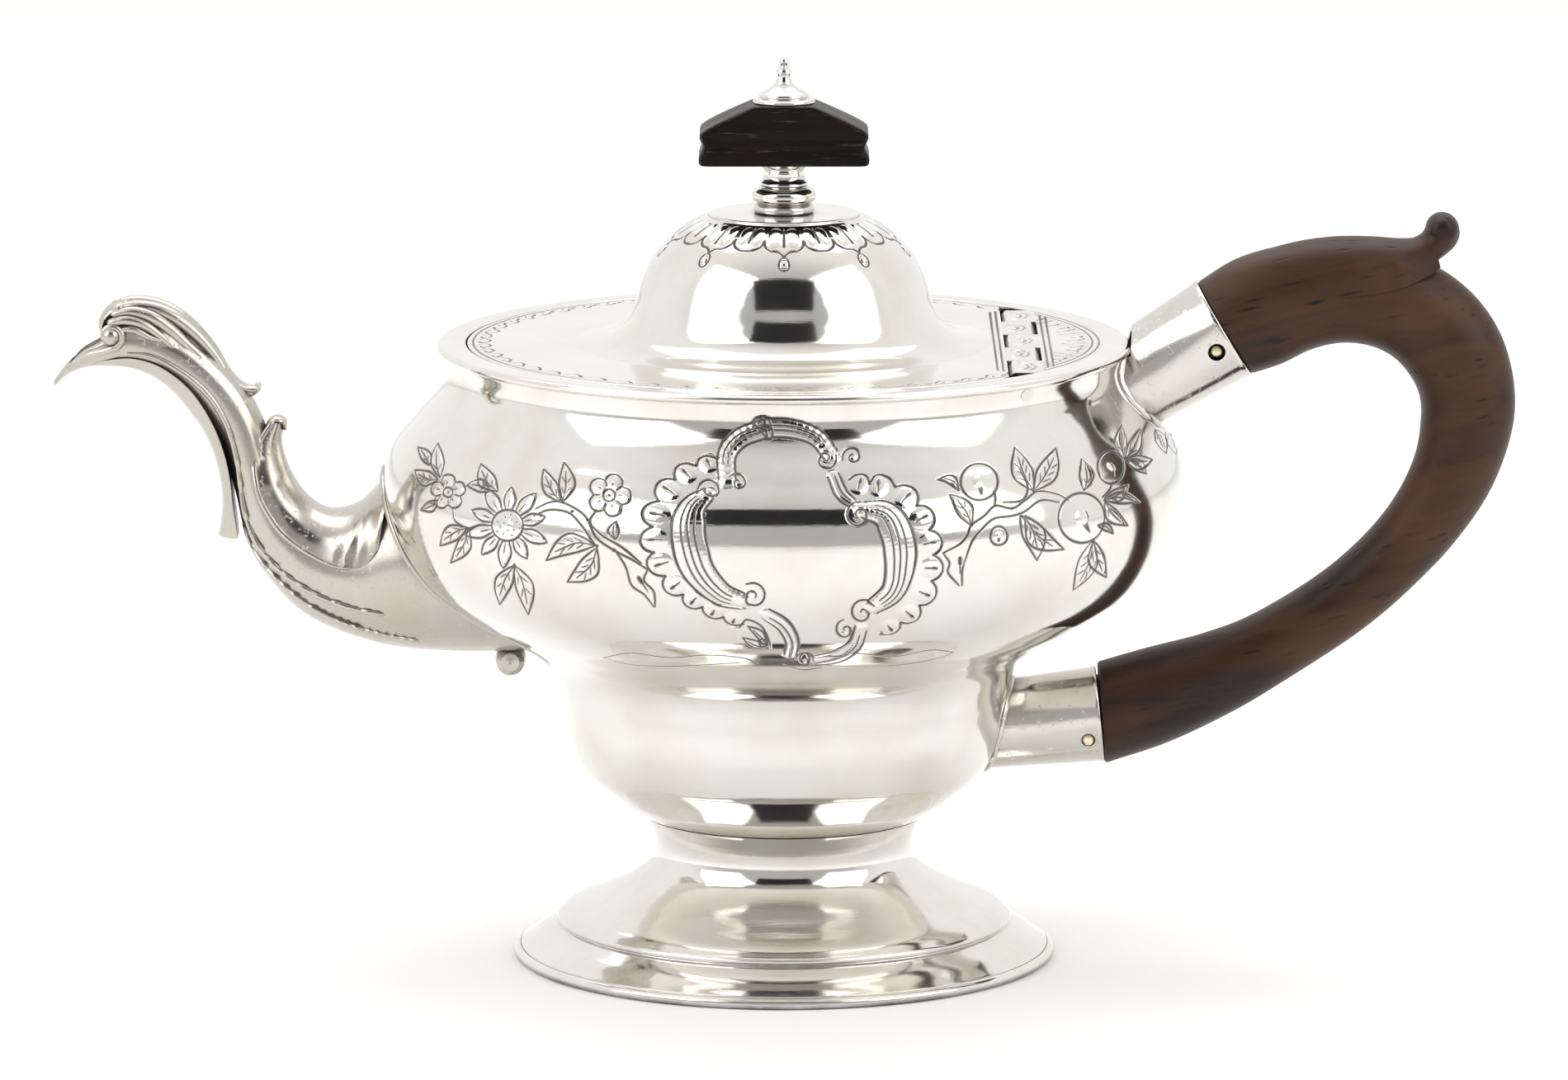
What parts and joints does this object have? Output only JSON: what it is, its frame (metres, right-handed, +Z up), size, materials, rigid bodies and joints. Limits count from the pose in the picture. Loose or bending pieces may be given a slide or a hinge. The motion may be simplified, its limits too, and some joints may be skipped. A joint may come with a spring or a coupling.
{
  "type": "teapot",
  "caption": "Footed silver teapot with a hollow bird-headed spout, a domed lid on a flush hinge and a wooden loop handle held in two sockets.",
  "frame": {"origin": "centre of the foot's resting ring, on the body's turning axis", "axes": "+Z up along the body's turning axis, -X towards the spout, +X towards the handle"},
  "size_m": [0.2898, 0.1592, 0.18],
  "materials": {
    "silver_polished": "polished, hand worn",
    "silver_cast": "cast and chased, dark in the recesses",
    "pin_gilt": "tarnished silver-gilt pins",
    "handle_wood": "waxed dark brown fruitwood",
    "knob_wood": "ebonised wood",
    "steel": "plain"
  },
  "bodies": {
    "pot": {"body": "silver_polished", "foot": "silver_polished", "foot_band": "silver_polished", "rim_plate": "silver_polished", "lid_seat_ring": "silver_polished", "spout": "silver_cast", "spout_collar": "silver_cast", "spout_drop": "silver_cast", "upper_socket": "silver_polished", "lower_socket": "silver_polished", "handle": "handle_wood", "upper_socket_pin": "pin_gilt", "lower_socket_pin": "pin_gilt", "body_hinge_knuckles": "silver_polished", "hinge_pin": "pin_gilt", "hinge_pin_plugs": "silver_polished"},
    "lid": {"lid": "silver_polished", "lid_bezel": "silver_polished", "lid_hinge_knuckles": "silver_polished", "knob_collar": "silver_polished", "knob_spool": "silver_polished", "knob_button": "knob_wood", "finial": "silver_polished", "knob_stem": "steel", "knob_washer": "steel", "knob_nut": "steel"}
  },
  "joints": [
    {"name": "lid_hinge", "type": "hinge", "parent": "pot", "child": "lid", "pos_m": [0.047, 0, 0.1203], "axis": [0, 1, 0], "range_deg": [0, 90]}
  ]
}
